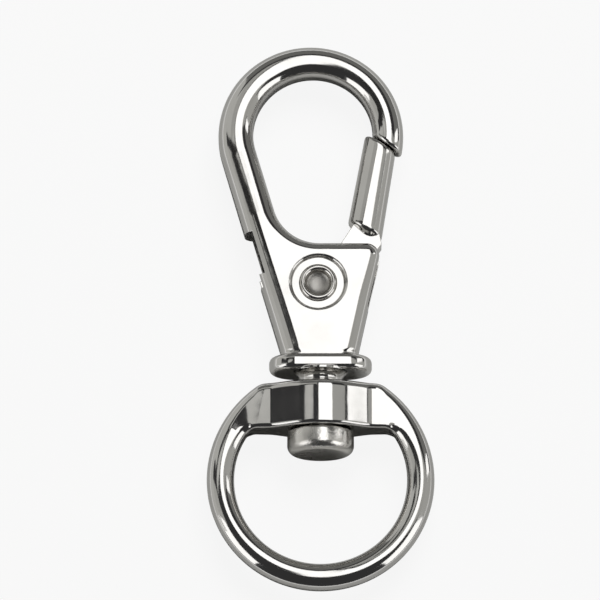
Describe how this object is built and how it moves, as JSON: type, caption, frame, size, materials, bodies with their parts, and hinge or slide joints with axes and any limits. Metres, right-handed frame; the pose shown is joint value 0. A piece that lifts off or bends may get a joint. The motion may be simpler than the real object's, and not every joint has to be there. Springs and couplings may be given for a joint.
{
  "type": "swivel snap hook",
  "caption": "Cast snap hook with a round bow and a sprung gate, turning on a headed stud in the crossbar of an eye ring.",
  "frame": {"origin": "on the table under the middle of the hook's length, on the swivel axis", "axes": "+Y along the swivel axis from the ring to the bow, +Z out of the front face, +X towards the gate"},
  "size_m": [0.0283, 0.07, 0.009],
  "materials": {
    "hook_plating": "bright nickel plate on a die-cast hook",
    "gate_plating": "bright nickel plate on a die-cast gate",
    "rivet_plating": "nickel-plated steel, rolled over in front",
    "spring_steel": "bare drawn spring wire",
    "stud_plating": "nickel-plated turned steel, a little mottled",
    "ring_plating": "bright nickel plate on a die-cast ring"
  },
  "bodies": {
    "hook": {"hook_body": "hook_plating", "gate_rivet": "rivet_plating", "gate_spring": "spring_steel", "swivel_stud": "stud_plating"},
    "gate": {"gate": "gate_plating"},
    "ring": {"ring": "ring_plating"}
  },
  "joints": [
    {"name": "gate_pivot", "type": "hinge", "parent": "hook", "child": "gate", "pos_m": [-0.0003, 0.0039, 0.0045], "axis": [0, 0, 1], "range_deg": [0, 30], "stiffness_Nm_per_rad": 0.02, "springref_deg": -34.38, "deforming": ["gate_spring"]},
    {"name": "swivel", "type": "hinge", "parent": "hook", "child": "ring", "pos_m": [0, -0.0117, 0.0045], "axis": [0, 1, 0], "continuous": true}
  ]
}
